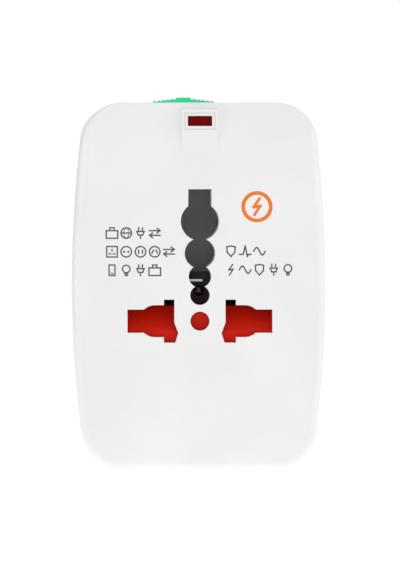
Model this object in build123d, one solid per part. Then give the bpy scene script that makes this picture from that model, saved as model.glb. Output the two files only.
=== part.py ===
from build123d import *
import math
import os

# Universal travel adapter. Millimetres, +X right and +Z up as seen from the socket side, which is -Y.
# The origin is the middle of the flat bottom. The front module holds the sockets, the shutter, the
# release slider and two flat pins that turn. The rear module slides off it and holds the folding pins.

# Casing
body_width = 50.2
body_height = 73.6
side_bulge = 2.6
corner_radius = 8.0
front_depth = 24.85
rear_depth = 23.85
module_gap = 0.3
wall = 2.0
face_thickness = 2.4
cover_thickness = 2.0
edge_round = 1.8
seat_clearance = 0.1
crown_length = 11.1
crown_drop = 1.3
tongue_width = 7.5
tongue_gap = 1.3

# Socket apertures
pin_line_z = 29.86
earth_slot_width = 4.65
earth_slot_top = 56.25
earth_holes = [(49.82, 3.83), (43.44, 3.05), (38.8, 2.25), (35.05, 1.95)]
aperture_reach = 14.5
aperture_inner = 7.2
aperture_half_height = 2.32
round_pin_x = 9.0
round_pin_radius = 3.2
notch_inner = 5.12
notch_depth = 4.3
centre_hole_radius = 1.9

# Shutter
shutter_overlap = 1.1
shutter_bottom = 24.4
shutter_crest = 27.9
shutter_top = 32.9
shutter_front_depth = 3.0
shutter_ramp_depth = 6.6
shutter_rear_depth = 9.2
shutter_travel = 7.2
shutter_web = 5.2
guide_clearance = 0.3
spring_x = 10.0
spring_ledge = 6.0
rail_thickness = 1.2
spring_radius = 2.0
spring_wire = 0.5
spring_floor = 12.2

# Indicator
window_width = 4.85
window_height = 2.0
window_drop = 3.7
bezel_width = 6.2
bezel_height = 3.4
bezel_line = 0.2
bezel_cut = 0.1
lens_flange = 0.9

# Contact carrier
contact_inner = 5.0
contact_overlap = 1.0
contact_height = 4.7
contact_pocket = 0.7
lip_flare = 0.5
carrier_bottom = 15.0
carrier_wall = 1.2
carrier_front_depth = 9.7
carrier_rear_gap = 0.3
contact_floor_depth = 17.0
strip = 0.5
wiper_width = 4.0
link_shelf_z = 38.2
link_shelf_end = 0.7
link_shelf_depth = 3.5
link_thickness = 0.45
rivet_place = (-8.0, 36.2)
rivet_radius = 0.9
earth_well_width = 8.0
earth_well_wall = 1.2
earth_leaf = 0.4
earth_leaf_width = 3.6
carrier_screw_place = (0.0, 35.9)
carrier_screw_radius = 0.8
carrier_screw_head = 1.1

# Turning flat pins
blade_width = 6.35
blade_thickness = 1.5
blade_length = 16.0
blade_x = 6.35
blade_z = 20.0
hub_wall = 0.94
hub_lip = 1.0
hub_flange = 1.0
hub_shaft_radius = 2.2
blade_tang_width = 2.8
blade_hole_radius = 1.0
blade_hole_inset = 4.0
blade_seat = 0.03
turning_clearance = 0.08

# Release slider
slider_x = -2.9
slider_travel = 5.8
slider_width = 12.3
slider_depth = 8.0
slider_rear_gap = 1.5
slider_rise = 1.15
slider_crest = 3.0
slider_step = 0.36
slider_slope = 0.128
ridge_pitch = 0.9
ridge_radius = 0.3
ridge_count = 5
recess_depth = 0.8
stem_width = 6.0
stem_depth = 4.0
latch_thickness = 1.0
latch_drop = 10.6
latch_height = 5.0
stake_radius = 0.8
stake_x = 1.7
hook_x = 9.0
hook_neck = 2.0
hook_head = 5.0
hook_head_thickness = 1.5

# Rear module
sleeve_clearance = 0.16
sleeve_wall = 0.6
sleeve_slit = 0.8
groove_clearance = 0.4
trough_wall = 1.2
pin_line_rear = 10.0
earth_offset = 22.2
uk_pin_x = 11.1
uk_pin_width = 6.35
uk_pin_thickness = 4.0
uk_pin_length = 17.7
uk_sleeve_length = 9.0
uk_barrel_radius = 2.8
uk_barrel_end = 1.7
earth_pin_width = 4.0
earth_pin_height = 8.0
earth_pin_length = 22.7
eu_pin_x = 9.5
eu_pin_radius = 2.0
eu_pin_length = 19.0
eu_sleeve_length = 10.0
eu_barrel_radius = 2.6
eu_barrel_end = 1.9
eu_pivot_drop = 7.6
pin_recess = 0.4
hinge_pin_radius = 1.0
hinge_pin_seat = 0.02
hinge_pin_bite = 1.8
scoop_depth = 3.0
scoop_length = 5.0
scoop_side = 1.4
bar_depth = 10.5
bar_width = 1.4
bar_thickness = 0.6
peg_x = 17.0
peg_z = 38.0
peg_radius = 1.5
peg_length = 2.0
strap_width = 3.0
earth_tab_height = 2.2
earth_tab_thickness = 0.8
earth_tab_reach = 6.5

# Screws
screw_inset = 2.5
screw_radius = 1.25
screw_head_radius = 2.1
screw_head = 1.2
screw_length = 9.0
boss_radius = 2.6

# Places worked out from the sizes above
y_face = -(front_depth + module_gap + rear_depth) / 2
y_inner_face = y_face + face_thickness
y_front_back = y_face + front_depth
y_cover = y_front_back - cover_thickness
y_rear_front = y_front_back + module_gap
y_plate = y_rear_front + cover_thickness
y_rear = y_rear_front + rear_depth
y_bar = y_rear_front + bar_depth
y_carrier = y_face + carrier_front_depth
y_carrier_back = y_cover - carrier_rear_gap
y_contact_floor = y_face + contact_floor_depth
y_shaft_end = y_contact_floor + 2 * strip + guide_clearance
y_hub_flange = y_cover - guide_clearance - hub_flange
half_end = body_width / 2 - side_bulge
crown_start = body_height - crown_length
tongue_top = body_height - tongue_gap
window_z = body_height - window_drop
latch_z = body_height - latch_drop
stake_z = body_height - wall - 3.6
eu_pivot_z = body_height - eu_pivot_drop
shutter_half_width = aperture_reach + shutter_overlap
contact_outer = aperture_reach + contact_overlap
carrier_half_width = contact_outer + contact_pocket + carrier_wall
carrier_shoulder = pin_line_z + contact_height + contact_pocket + carrier_wall + 0.5
carrier_neck = earth_well_width / 2 + carrier_wall + 0.4
earth_well_floor = earth_holes[1][0] - earth_holes[1][1] - 0.8
earth_well_roof = earth_slot_top + 0.6
earth_tab_z = earth_well_roof + earth_tab_height / 2 + 0.7
carrier_top = earth_tab_z + earth_tab_height / 2 + 0.5
blade_reach = math.hypot(blade_width, blade_thickness) / 2
hub_radius = blade_reach + hub_wall
hub_flange_radius = hub_radius + hub_lip
sleeve_inner = blade_reach + sleeve_clearance
sleeve_outer = sleeve_inner + sleeve_wall
uk_pivot_depth = uk_barrel_radius + pin_recess
uk_barrel_half = uk_pin_x + uk_pin_width / 2 + uk_barrel_end
earth_pivot_depth = earth_pin_height / 2 + pin_recess
eu_pivot_depth = eu_barrel_radius + pin_recess
eu_barrel_half = eu_pin_x + eu_pin_radius + eu_barrel_end
bar_x = blade_x + sleeve_outer + 0.85
earth_trough_reach = earth_pin_width / 2 + groove_clearance + trough_wall
screw_x = half_end - corner_radius + screw_inset
screw_z = corner_radius - screw_inset
screw_places = [(sx * screw_x, z) for sx in (-1, 1) for z in (screw_z, body_height - screw_z)]


def section(y):
    return Plane(origin=(0, y, 0), x_dir=(1, 0, 0), z_dir=(0, -1, 0))


def slab(sketch, y0, y1):
    return extrude(section(y1) * sketch, y1 - y0)


def block(x0, x1, y0, y1, z0, z1):
    place = Pos((x0 + x1) / 2, (y0 + y1) / 2, (z0 + z1) / 2)
    return place * Box(abs(x1 - x0), abs(y1 - y0), abs(z1 - z0))


def rod_x(radius, x0, x1, y, z):
    return Pos((x0 + x1) / 2, y, z) * Rot(0, 90, 0) * Cylinder(radius, abs(x1 - x0))


def rod_y(radius, y0, y1, x, z):
    return Pos(x, (y0 + y1) / 2, z) * Rot(90, 0, 0) * Cylinder(radius, abs(y1 - y0))


def rod_z(radius, z0, z1, x, y):
    return Pos(x, y, (z0 + z1) / 2) * Cylinder(radius, abs(z1 - z0))


def both_sides(shape):
    return shape + mirror(shape, about=Plane.YZ)


def group(pieces):
    return Compound(children=[piece.solid() for piece in pieces])


def outline(inset=0.0):
    left = half_end
    middle = body_height / 2
    bottom = Line((-left, 0), (left, 0))
    right = ThreePointArc((left, 0), (body_width / 2, middle), (left, body_height))
    top = Line((left, body_height), (-left, body_height))
    back = ThreePointArc((-left, body_height), (-body_width / 2, middle), (-left, 0))
    face = make_face([bottom, right, top, back])
    face = fillet(face.vertices(), corner_radius)
    if inset:
        face = offset(face, amount=-inset)
    return face


def rounded_casing(y0, y1, rim_index):
    solid = slab(outline(), y0, y1)
    rim = solid.faces().filter_by(Axis.Y).sort_by(Axis.Y)[rim_index]
    return fillet(rim.edges(), edge_round)


def crown_cut():
    # The face falls back from crown_start to the top, except along the tongue.
    rise = body_height - crown_start
    radius = (rise ** 2 + crown_drop ** 2) / (2 * crown_drop)
    above = block(-body_width, body_width, y_face - 1, y_face + edge_round + 2, crown_start, body_height + 1)
    arch = rod_x(radius, -body_width, body_width, y_face + radius, crown_start)
    tongue = block(-tongue_width / 2, tongue_width / 2, y_face - 2, y_face + 5, crown_start - 1, tongue_top)
    return above - arch - tongue


def side_aperture():
    # One of the mirrored pin apertures: a flat slot, a round hole and a slanted-pin notch.
    line = pin_line_z
    slot = Pos((aperture_inner + aperture_reach) / 2, line) * Rectangle(
        aperture_reach - aperture_inner, 2 * aperture_half_height)
    hole = Pos(round_pin_x, line) * Circle(round_pin_radius)
    flat = Pos((aperture_inner + round_pin_x) / 2, line) * Rectangle(
        round_pin_x - aperture_inner, 2 * round_pin_radius)
    notch = make_face(Polyline(
        (aperture_inner, line + notch_depth),
        (notch_inner, line + notch_depth),
        (notch_inner, line - 0.3),
        (notch_inner - 0.8, line - notch_depth * 0.55),
        (notch_inner - 0.2, line - notch_depth),
        (aperture_inner, line - notch_depth),
        close=True))
    return slot + hole + flat + notch


def earth_aperture():
    shape = Pos(0, (earth_slot_top + earth_holes[0][0]) / 2) * Rectangle(
        earth_slot_width, earth_slot_top - earth_holes[0][0])
    for z, radius in earth_holes:
        shape += Pos(0, z) * Circle(radius)
    return shape


def slider_slot():
    # Slot for the stem and the shallow recess that the cap slides in.
    y1 = y_front_back - slider_rear_gap
    left = slider_x - slider_width / 2 - guide_clearance
    right = slider_x + slider_travel + slider_width / 2 + guide_clearance
    recess = block(left, right, y1 - slider_depth - guide_clearance, y1 + guide_clearance,
                   body_height - recess_depth, body_height + 1)
    y_stem = y_cover - guide_clearance - latch_thickness
    stem_left = slider_x - stem_width / 2 - guide_clearance
    stem_right = slider_x + slider_travel + stem_width / 2 + guide_clearance
    slot = block(stem_left, stem_right, y_stem - stem_depth - guide_clearance, y_stem + guide_clearance,
                 body_height - wall - 1, body_height)
    return recess + slot


def front_shell():
    shell = rounded_casing(y_face, y_front_back, 0) - crown_cut()
    shell -= slab(outline(wall), y_inner_face, y_front_back)
    for x, z in screw_places:
        shell += rod_y(boss_radius, y_inner_face - 0.1, y_cover, x, z) - rod_y(
            screw_radius + 0.05, y_cover - screw_length, y_cover, x, z)
    # Guide rails and spring ledges of the shutter
    rail = shutter_half_width + guide_clearance
    y_rail = y_carrier - seat_clearance
    shell += both_sides(block(rail, rail + rail_thickness, y_inner_face - 0.1, y_rail,
                              spring_floor - rail_thickness, shutter_top + shutter_travel))
    spring_y = y_face + (shutter_front_depth + shutter_rear_depth) / 2
    for x in (-spring_x, spring_x):
        shell += block(x - spring_ledge / 2, x + spring_ledge / 2, y_inner_face - 0.1, y_rail,
                       spring_floor - wall, spring_floor)
        shell += rod_z(spring_radius - spring_wire - 0.5, spring_floor, spring_floor + 2.5, x, spring_y)
    # Block behind the earth slot, with a channel of the slot's outline through it
    half = earth_well_width / 2 + earth_well_wall
    shell += block(-half, half, y_inner_face - 0.1, y_rail, earth_well_floor - earth_well_wall,
                   earth_well_roof + earth_well_wall)
    # Openings through the face
    shell -= slab(earth_aperture(), y_face - 1, y_rail)
    y_cut = (y_face - 1, y_inner_face + 0.01)
    shell -= both_sides(slab(side_aperture(), *y_cut))
    shell -= rod_y(centre_hole_radius, *y_cut, 0, pin_line_z)
    shell -= block(-window_width / 2, window_width / 2, *y_cut,
                   window_z - window_height / 2, window_z + window_height / 2)
    bezel = Rectangle(bezel_width, bezel_height) - Rectangle(
        bezel_width - 2 * bezel_line, bezel_height - 2 * bezel_line)
    shell -= slab(Pos(0, window_z) * bezel, y_face - 1, y_face + bezel_cut)
    shell -= slider_slot()
    return shell


def screw_holes(y_outside, y_inside):
    # Countersunk seats open towards y_outside, with clearance holes through the plate.
    direction = 1 if y_inside > y_outside else -1
    y_seat = y_outside + direction * (screw_head + 0.05)
    holes = []
    for x, z in screw_places:
        holes.append(rod_y(screw_radius + 0.15, y_outside, y_inside, x, z))
        holes.append(rod_y(screw_head_radius + 0.1, y_outside, y_seat, x, z))
    return holes


def screws(y_outside, y_inside):
    direction = 1 if y_inside > y_outside else -1
    y_seat = y_outside + direction * (screw_head + 0.05)
    pieces = []
    for x, z in screw_places:
        head = rod_y(screw_head_radius, y_seat, y_outside + direction * 0.05, x, z)
        shank = rod_y(screw_radius, y_seat, y_seat + direction * (screw_length - 1), x, z)
        y_slot = y_outside + direction * 0.05
        cross = block(x - 1.3, x + 1.3, y_slot, y_slot + direction * 0.6, z - 0.25, z + 0.25)
        cross += block(x - 0.25, x + 0.25, y_slot, y_slot + direction * 0.6, z - 1.3, z + 1.3)
        pieces.append(head + shank - cross)
    return group(pieces)


def hook_centres():
    return [slider_x - hook_x, slider_x + hook_x]


def front_back_cover():
    cover = slab(outline(wall + seat_clearance), y_cover, y_front_back)
    for hole in screw_holes(y_front_back, y_cover):
        cover -= hole
    for x in (-blade_x, blade_x):
        cover -= rod_y(hub_radius + turning_clearance, y_cover, y_front_back, x, blade_z)
    half = hook_neck / 2 + guide_clearance
    reach = hook_head / 2 + guide_clearance
    for x in hook_centres():
        cover -= block(x - half, x + slider_travel + half, y_cover, y_front_back,
                       latch_z - reach, latch_z + reach)
    cover -= earth_tab(guide_clearance)
    x, z = carrier_screw_place
    cover -= rod_y(carrier_screw_radius + 0.05, y_cover, y_front_back, x, z)
    for x in (-peg_x, peg_x):
        cover += rod_y(peg_radius, y_cover + 0.5, y_front_back + peg_length, x, peg_z)
    return cover


def indicator_lens():
    y_flange = y_inner_face + seat_clearance
    lens = block(-window_width / 2 + 0.05, window_width / 2 - 0.05, y_face + 0.25, y_flange,
                 window_z - window_height / 2 + 0.05, window_z + window_height / 2 - 0.05)
    lens += block(-window_width / 2 - 1, window_width / 2 + 1, y_flange, y_flange + lens_flange,
                  window_z - window_height / 2 - 1, window_z + window_height / 2 + 0.6)
    return lens


def neon_lamp():
    y0 = y_inner_face + lens_flange + 1
    radius = 1.4
    lamp = rod_y(radius, y0 + radius, y0 + 8, 0, window_z - 0.2)
    return lamp + Pos(0, y0 + radius, window_z - 0.2) * Sphere(radius)


def lamp_leads():
    y0 = y_inner_face + lens_flange + 9
    z0 = window_z - 0.2
    leads = []
    for x in (-0.6, 0.6):
        side = math.copysign(1, x)
        path = FilletPolyline((x, y0, z0), (x, y0 + 1.6, z0), (side * 2.2, y0 + 1.6, carrier_top + 3),
                              (side * 7.6, y0 + 1.6, carrier_top), (side * 7.6, y0 + 1.6, 49), radius=0.6)
        leads.append(sweep(Plane(origin=path @ 0, z_dir=path % 0) * Circle(0.25), path=path))
    return group(leads)


def lamp_resistor():
    x = -7.6
    y = y_inner_face + lens_flange + 10.6
    body = rod_z(1.1, 42.5, 48.9, x, y)
    return body + rod_z(0.25, carrier_shoulder + 0.1, 49, x, y)


def surge_varistor():
    disc = rod_y(5.0, -9.5, -5.5, 14.0, 48.5)
    return fillet(disc.edges(), 1.2)


def varistor_leads():
    pieces = [rod_z(0.35, carrier_shoulder + 0.1, 45.0, x, y) for x, y in ((11.6, -4.9), (16.4, -10.1))]
    return group(pieces)


def earth_tab(clearance=0.0):
    half = earth_tab_thickness / 2 + clearance
    reach = earth_tab_height / 2 + clearance
    return block(-half, half, y_carrier_back - 1.0 - strip, y_rear_front + earth_tab_reach,
                 earth_tab_z - reach, earth_tab_z + reach)


def contact_carrier():
    carrier = block(-carrier_half_width, carrier_half_width, y_carrier, y_carrier_back,
                    carrier_bottom, carrier_shoulder)
    carrier += block(-carrier_neck, carrier_neck, y_carrier, y_carrier_back, carrier_shoulder, carrier_top)
    reach = contact_height + contact_pocket
    contact = block(contact_inner - contact_pocket, contact_outer + contact_pocket, y_carrier,
                    y_contact_floor + strip, pin_line_z - reach, pin_line_z + reach)
    half = wiper_width / 2 + 0.1
    wiper = block(blade_x - half, blade_x + half, y_carrier, y_contact_floor + 2 * strip,
                  blade_z - half - 1, pin_line_z)
    shaft = rod_y(hub_shaft_radius + turning_clearance, y_carrier, y_carrier_back, blade_x, blade_z)
    flange = rod_y(hub_flange_radius + guide_clearance, y_hub_flange - guide_clearance, y_carrier_back,
                   blade_x, blade_z)
    carrier -= both_sides(contact + wiper + shaft + flange)
    half = earth_well_width / 2
    carrier -= block(-half, half, y_carrier, y_carrier_back, earth_well_floor, earth_well_roof)
    half = earth_leaf_width / 2 + 0.2
    carrier -= block(-half, half, y_carrier_back - 1.5, y_carrier_back,
                     earth_well_roof - 0.1, earth_tab_z + earth_tab_height / 2 + 0.1)
    x, z = carrier_screw_place
    carrier -= rod_y(carrier_screw_radius + 0.05, y_carrier, y_carrier_back, x, z)
    return carrier


def side_contact(side):
    # A strip bent to a U, open towards the socket face, whose lips pinch the pin.
    y_back = y_contact_floor
    y_front = y_carrier + 0.6
    reach = contact_height
    pinch = 1.9
    upper = make_face(Polyline(
        (y_back, reach - strip), (y_back - 1.5, reach - strip), (y_front + 1.5, pinch),
        (y_front, pinch + lip_flare), (y_front, pinch + lip_flare + strip), (y_front + 1.5, pinch + strip),
        (y_back - 1.5, reach), (y_back, reach), close=True))
    plane = Plane(origin=(contact_inner, 0, pin_line_z), x_dir=(0, 1, 0), z_dir=(1, 0, 0))
    leaf = extrude(plane * upper, contact_outer - contact_inner)
    lower = mirror(leaf, about=Plane(origin=(0, 0, pin_line_z), z_dir=(0, 0, 1)))
    back = block(contact_inner, contact_outer, y_back, y_back + strip, pin_line_z - reach, pin_line_z + reach)
    contact = leaf + lower + back
    return contact if side > 0 else mirror(contact, about=Plane.YZ)


def blade_wiper(side):
    y0 = y_contact_floor + strip
    x = side * blade_x
    half = wiper_width / 2
    return block(x - half, x + half, y0, y0 + strip, blade_z - half - 0.8, pin_line_z - 0.2)


def earth_socket_contact():
    # A leaf under the well's roof that presses on the earth pin's upper edge, turned up at the back to the
    # tab that reaches the rear module.
    half = earth_leaf_width / 2
    y_back = y_carrier_back - 1.0
    z0 = earth_well_roof - 0.05
    contact = block(-half, half, y_carrier + 2, y_back, z0 - earth_leaf, z0)
    contact += block(-half, half, y_back - earth_leaf, y_back, z0 - earth_leaf,
                     earth_tab_z + earth_tab_height / 2)
    return contact + earth_tab()


def lamp_link_strip():
    # Angle strip: a flange riveted to the carrier and a shelf whose front edge shows in the earth slot.
    z1 = link_shelf_z
    shelf = block(-13, link_shelf_end, y_carrier - link_shelf_depth, y_carrier, z1 - link_thickness, z1)
    flange = block(-13, -4, y_carrier - link_thickness, y_carrier, z1 - 4, z1)
    x, z = rivet_place
    return shelf + flange - rod_y(rivet_radius / 2, y_carrier - link_thickness, y_carrier, x, z)


def lamp_link_rivet():
    x, z = rivet_place
    y1 = y_carrier - link_thickness
    head = rod_y(rivet_radius, y1 - 0.5, y1, x, z)
    head = fillet(head.edges().sort_by(Axis.Y)[0], 0.3)
    return head + rod_y(rivet_radius / 2, y1 - 0.1, y_carrier, x, z)


def carrier_screw():
    # Domed screw that holds the carrier to the back cover.
    x, z = carrier_screw_place
    head = rod_y(carrier_screw_head, y_carrier - 0.9, y_carrier, x, z)
    head = fillet(head.edges().sort_by(Axis.Y)[0], 0.8)
    return head + rod_y(carrier_screw_radius, y_carrier - 0.1, y_front_back - 0.5, x, z)


def shutter_spring(x):
    y = y_face + (shutter_front_depth + shutter_rear_depth) / 2
    tube = rod_z(spring_radius, spring_floor, shutter_bottom, x, y)
    return tube - rod_z(spring_radius - spring_wire, spring_floor, shutter_bottom, x, y)


def red_shutter():
    profile = make_face(Polyline(
        (y_face + shutter_front_depth, shutter_bottom), (y_face + shutter_front_depth, shutter_crest),
        (y_face + shutter_ramp_depth, shutter_top), (y_face + shutter_rear_depth, shutter_top),
        (y_face + shutter_rear_depth, shutter_bottom), close=True))
    plane = Plane(origin=(-shutter_half_width, 0, 0), x_dir=(0, 1, 0), z_dir=(1, 0, 0))
    shutter = extrude(plane * profile, 2 * shutter_half_width)
    return shutter + block(-shutter_web / 2, shutter_web / 2, y_face + shutter_front_depth,
                           y_face + shutter_rear_depth, shutter_bottom, shutter_top)


def slider_cap():
    # Cap with a flat crest and round ridges on the slope either side, on a stem that hangs through the slot.
    y1 = y_front_back - slider_rear_gap
    z0 = body_height - recess_depth + guide_clearance
    z_crest = body_height + slider_rise
    half = slider_width / 2
    crest = slider_crest / 2
    z_step = z_crest - slider_step
    z_edge = z_step - slider_slope * (half - crest)
    profile = make_face(Polyline(
        (half, z0), (half, z_edge), (crest, z_step), (crest - 0.08, z_crest), (0.08 - crest, z_crest),
        (-crest, z_step), (-half, z_edge), (-half, z0), close=True))
    for i in range(ridge_count):
        x = (i + 0.8) * ridge_pitch
        for side in (-1, 1):
            profile += Pos(side * (crest + x), z_step - slider_slope * x - 0.08) * Circle(ridge_radius)
    cap = slab(Pos(slider_x, 0) * profile, y1 - slider_depth, y1)
    y_stem = y_cover - guide_clearance - latch_thickness
    half_stem = stem_width / 2
    cap += block(slider_x - half_stem, slider_x + half_stem, y_stem - stem_depth, y_stem,
                 latch_z + latch_height / 2 + 0.1, z0 + 0.1)
    for x in (slider_x - stake_x, slider_x + stake_x):
        cap += rod_y(stake_radius, y_stem - 0.1, y_stem + latch_thickness, x, stake_z)
    return cap


def latch_plate():
    # Plate behind the stem with two T-shaped hooks that reach through the cover into the rear module.
    y1 = y_cover - guide_clearance
    y0 = y1 - latch_thickness
    reach = hook_x + hook_neck
    plate = block(slider_x - reach, slider_x + reach, y0, y1,
                  latch_z - latch_height / 2, latch_z + latch_height / 2)
    plate += block(slider_x - 3.5, slider_x + 3.5, y0, y1, latch_z, body_height - wall - 1.6)
    for x in (slider_x - stake_x, slider_x + stake_x):
        plate -= rod_y(stake_radius + 0.05, y0, y1, x, stake_z)
    y_head = y_plate + guide_clearance
    half = hook_neck / 2
    for x in hook_centres():
        plate += block(x - half, x + half, y1 - 0.1, y_head, latch_z - half, latch_z + half)
        plate += block(x - half, x + half, y_head, y_head + hook_head_thickness,
                       latch_z - hook_head / 2, latch_z + hook_head / 2)
    return plate


def blade_outline(side, y0, y1, clearance=0.0):
    x = side * blade_x
    half = blade_thickness / 2 + clearance
    reach = blade_width / 2 + clearance
    return block(x - half, x + half, y0, y1, blade_z - reach, blade_z + reach)


def blade_tang(side, y1, clearance=0.0):
    # Narrow tail of the blade, inside the hub's shaft, that meets the wiper strip.
    x = side * blade_x
    half = blade_thickness / 2 + clearance
    reach = blade_tang_width / 2 + clearance
    return block(x - half, x + half, y_shaft_end, y1, blade_z - reach, blade_z + reach)


def flat_blade(side):
    x = side * blade_x
    tip = y_front_back + blade_length
    blade = blade_outline(side, y_hub_flange, tip)
    blade = chamfer(blade.faces().sort_by(Axis.Y)[-1].edges(), 0.4)
    blade += blade_tang(side, y_hub_flange)
    return blade - rod_x(blade_hole_radius, x - 2, x + 2, tip - blade_hole_inset, blade_z)


def blade_hub(side):
    x = side * blade_x
    y_flange = y_cover - guide_clearance
    hub = rod_y(hub_radius, y_flange - 0.1, y_front_back, x, blade_z)
    hub += rod_y(hub_flange_radius, y_hub_flange, y_flange, x, blade_z)
    hub += rod_y(hub_shaft_radius, y_shaft_end, y_flange, x, blade_z)
    hub -= blade_outline(side, y_hub_flange, y_front_back, blade_seat)
    return hub - blade_tang(side, y_hub_flange, blade_seat)


# Pivots of the folding pins, as (y, z)
uk_pivot = (y_rear - uk_pivot_depth, pin_line_rear)
earth_pivot = (y_rear - earth_pivot_depth, pin_line_rear + earth_offset)
eu_pivot = (y_rear - eu_pivot_depth, eu_pivot_z)


def groove_list():
    # Every hollow in the rear face as (x0, x1, y0, z0, z1), open towards the rear.
    c = groove_clearance
    grooves = []
    uk_y, uk_z = uk_pivot
    tip = uk_z + uk_pivot_depth + uk_pin_length + 0.6
    for x in (-uk_pin_x, uk_pin_x):
        half = uk_pin_width / 2 + c
        grooves.append((x - half, x + half, uk_y - uk_pin_thickness / 2 - c, uk_z, tip))
        grooves.append((x - half - scoop_side, x + half + scoop_side, y_rear - scoop_depth,
                        tip + 0.8 - scoop_length, tip + 0.8))
    half = uk_barrel_half + c
    low = uk_barrel_radius + c
    grooves.append((-half, half, uk_y - low, uk_z - low, uk_z + low))
    earth_y, earth_z = earth_pivot
    tip = earth_z + earth_pivot_depth + earth_pin_length + 0.6
    half = earth_pin_width / 2 + c
    low = earth_pin_height / 2 + c
    grooves.append((-half, half, earth_y - low, earth_z - low, tip))
    grooves.append((-half - scoop_side, half + scoop_side, y_rear - scoop_depth,
                    tip + 0.8 - scoop_length, tip + 0.8))
    eu_y, eu_z = eu_pivot
    tip = eu_z - eu_pivot_depth - eu_pin_length - 0.6
    for x in (-eu_pin_x, eu_pin_x):
        half = eu_pin_radius + c
        grooves.append((x - half, x + half, eu_y - half, tip, eu_z))
        grooves.append((x - half - scoop_side, x + half + scoop_side, y_rear - scoop_depth,
                        tip - 0.8, tip - 0.8 + scoop_length))
    half = eu_barrel_half + c
    low = eu_barrel_radius + c
    grooves.append((-half, half, eu_y - low, eu_z - low, eu_z + low))
    return grooves


def hinge_places():
    # Outer ends of the hinge pins, as (x inside, x outside, y, z)
    uk_y, uk_z = uk_pivot
    eu_y, eu_z = eu_pivot
    reach = groove_clearance + trough_wall
    return [(uk_barrel_half - hinge_pin_bite, uk_barrel_half + reach, uk_y, uk_z),
            (eu_barrel_half - hinge_pin_bite, eu_barrel_half + reach, eu_y, eu_z)]


def wiper_tabs(clearance=0.0):
    # Bus bar tabs that reach through the trough walls to the heels of the right-hand folding pins.
    c = clearance
    uk_y, uk_z = uk_pivot
    eu_y, eu_z = eu_pivot
    y0 = y_bar + bar_thickness
    half = bar_thickness / 2 + c
    uk_tab = block(uk_pin_x - 1.6 - c, uk_pin_x + 1.6 + c, y0, uk_y - uk_barrel_radius - guide_clearance,
                   uk_z - half, uk_z + half)
    eu_tab = block(eu_pin_x - 1.2 - c, eu_pin_x + 1.2 + c, y0, eu_y - eu_barrel_radius - guide_clearance,
                   eu_z - half, eu_z + half)
    return uk_tab, eu_tab


def rear_shell():
    shell = rounded_casing(y_rear_front, y_rear, -1)
    shell -= slab(outline(wall), y_rear_front, y_rear - wall)
    inside = slab(outline(wall / 2), y_plate, y_rear - wall / 2)
    for x0, x1, y0, z0, z1 in groove_list():
        t = trough_wall
        shell += block(x0 - t, x1 + t, y0 - t, y_rear - wall / 2, z0 - t, z1 + t) & inside
    for x, z in screw_places:
        shell += rod_y(boss_radius, y_plate, y_rear - wall / 2, x, z)
    for x0, x1, y0, z0, z1 in groove_list():
        shell -= block(x0, x1, y0, y_rear + 1, z0, z1)
    for x, z in screw_places:
        shell -= rod_y(screw_radius + 0.05, y_plate, y_plate + screw_length, x, z)
    for x0, x1, y, z in hinge_places():
        shell -= both_sides(rod_x(hinge_pin_radius + hinge_pin_seat, x0, x1, y, z))
    shell -= rod_x(hinge_pin_radius + hinge_pin_seat, -earth_trough_reach, earth_trough_reach, *earth_pivot)
    for tab in wiper_tabs(0.15):
        shell -= both_sides(tab)
    earth_y, earth_z = earth_pivot
    half = strap_width / 2 + 0.15
    shell -= block(-half, half, earth_y - earth_pin_height, earth_y, earth_z - 0.45, earth_z + 0.45)
    return shell


def rear_front_plate():
    plate = slab(outline(wall + seat_clearance), y_rear_front, y_plate)
    for hole in screw_holes(y_rear_front, y_plate):
        plate -= hole
    for x in (-blade_x, blade_x):
        plate -= rod_y(blade_reach + guide_clearance, y_rear_front, y_plate, x, blade_z)
    # Keyholes: tall where the hooks rest, narrow where they lock
    half = hook_neck / 2 + groove_clearance
    for x in hook_centres():
        plate -= block(x - half, x + half, y_rear_front, y_plate,
                       latch_z - hook_head / 2 - groove_clearance, latch_z + hook_head / 2 + groove_clearance)
        plate -= block(x - half, x + slider_travel + half, y_rear_front, y_plate,
                       latch_z - half, latch_z + half)
    plate -= earth_tab(groove_clearance)
    for x in (-peg_x, peg_x):
        plate -= rod_y(peg_radius + groove_clearance, y_rear_front, y_plate, x, peg_z)
    return plate


def sleeve_contact(side):
    # Split tube that the flat pin plugs into and may turn in.
    x = side * blade_x
    y1 = y_front_back + blade_length + 0.3
    sleeve = rod_y(sleeve_outer, y_plate, y1, x, blade_z) - rod_y(sleeve_inner, y_plate, y1, x, blade_z)
    half = sleeve_slit / 2
    return sleeve - block(x - half, x + half, y_plate + 1.5, y1 - 3, blade_z - 6, blade_z + 6)


def busbar(side):
    y1 = y_bar + bar_thickness
    z0 = uk_pivot[1] - 1.2
    z1 = eu_pivot[1] + 1.2
    bar = block(bar_x, bar_x + bar_width, y_bar, y1, z0, z1)
    bar += block(blade_x, bar_x + 0.1, y_bar, y1, blade_z - 1.5, blade_z + 1.5)
    bar -= rod_y(sleeve_outer, y_bar - 1, y1 + 1, blade_x, blade_z)
    bar += block(eu_pin_x - 1.2, bar_x + 0.1, y_bar, y1, z1 - 2.4, z1)
    bar += block(uk_pin_x - 1.6, bar_x + 0.1, y_bar, y1, z0, z0 + 2.4)
    for tab in wiper_tabs():
        bar += tab
    return bar if side > 0 else mirror(bar, about=Plane.YZ)


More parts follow.
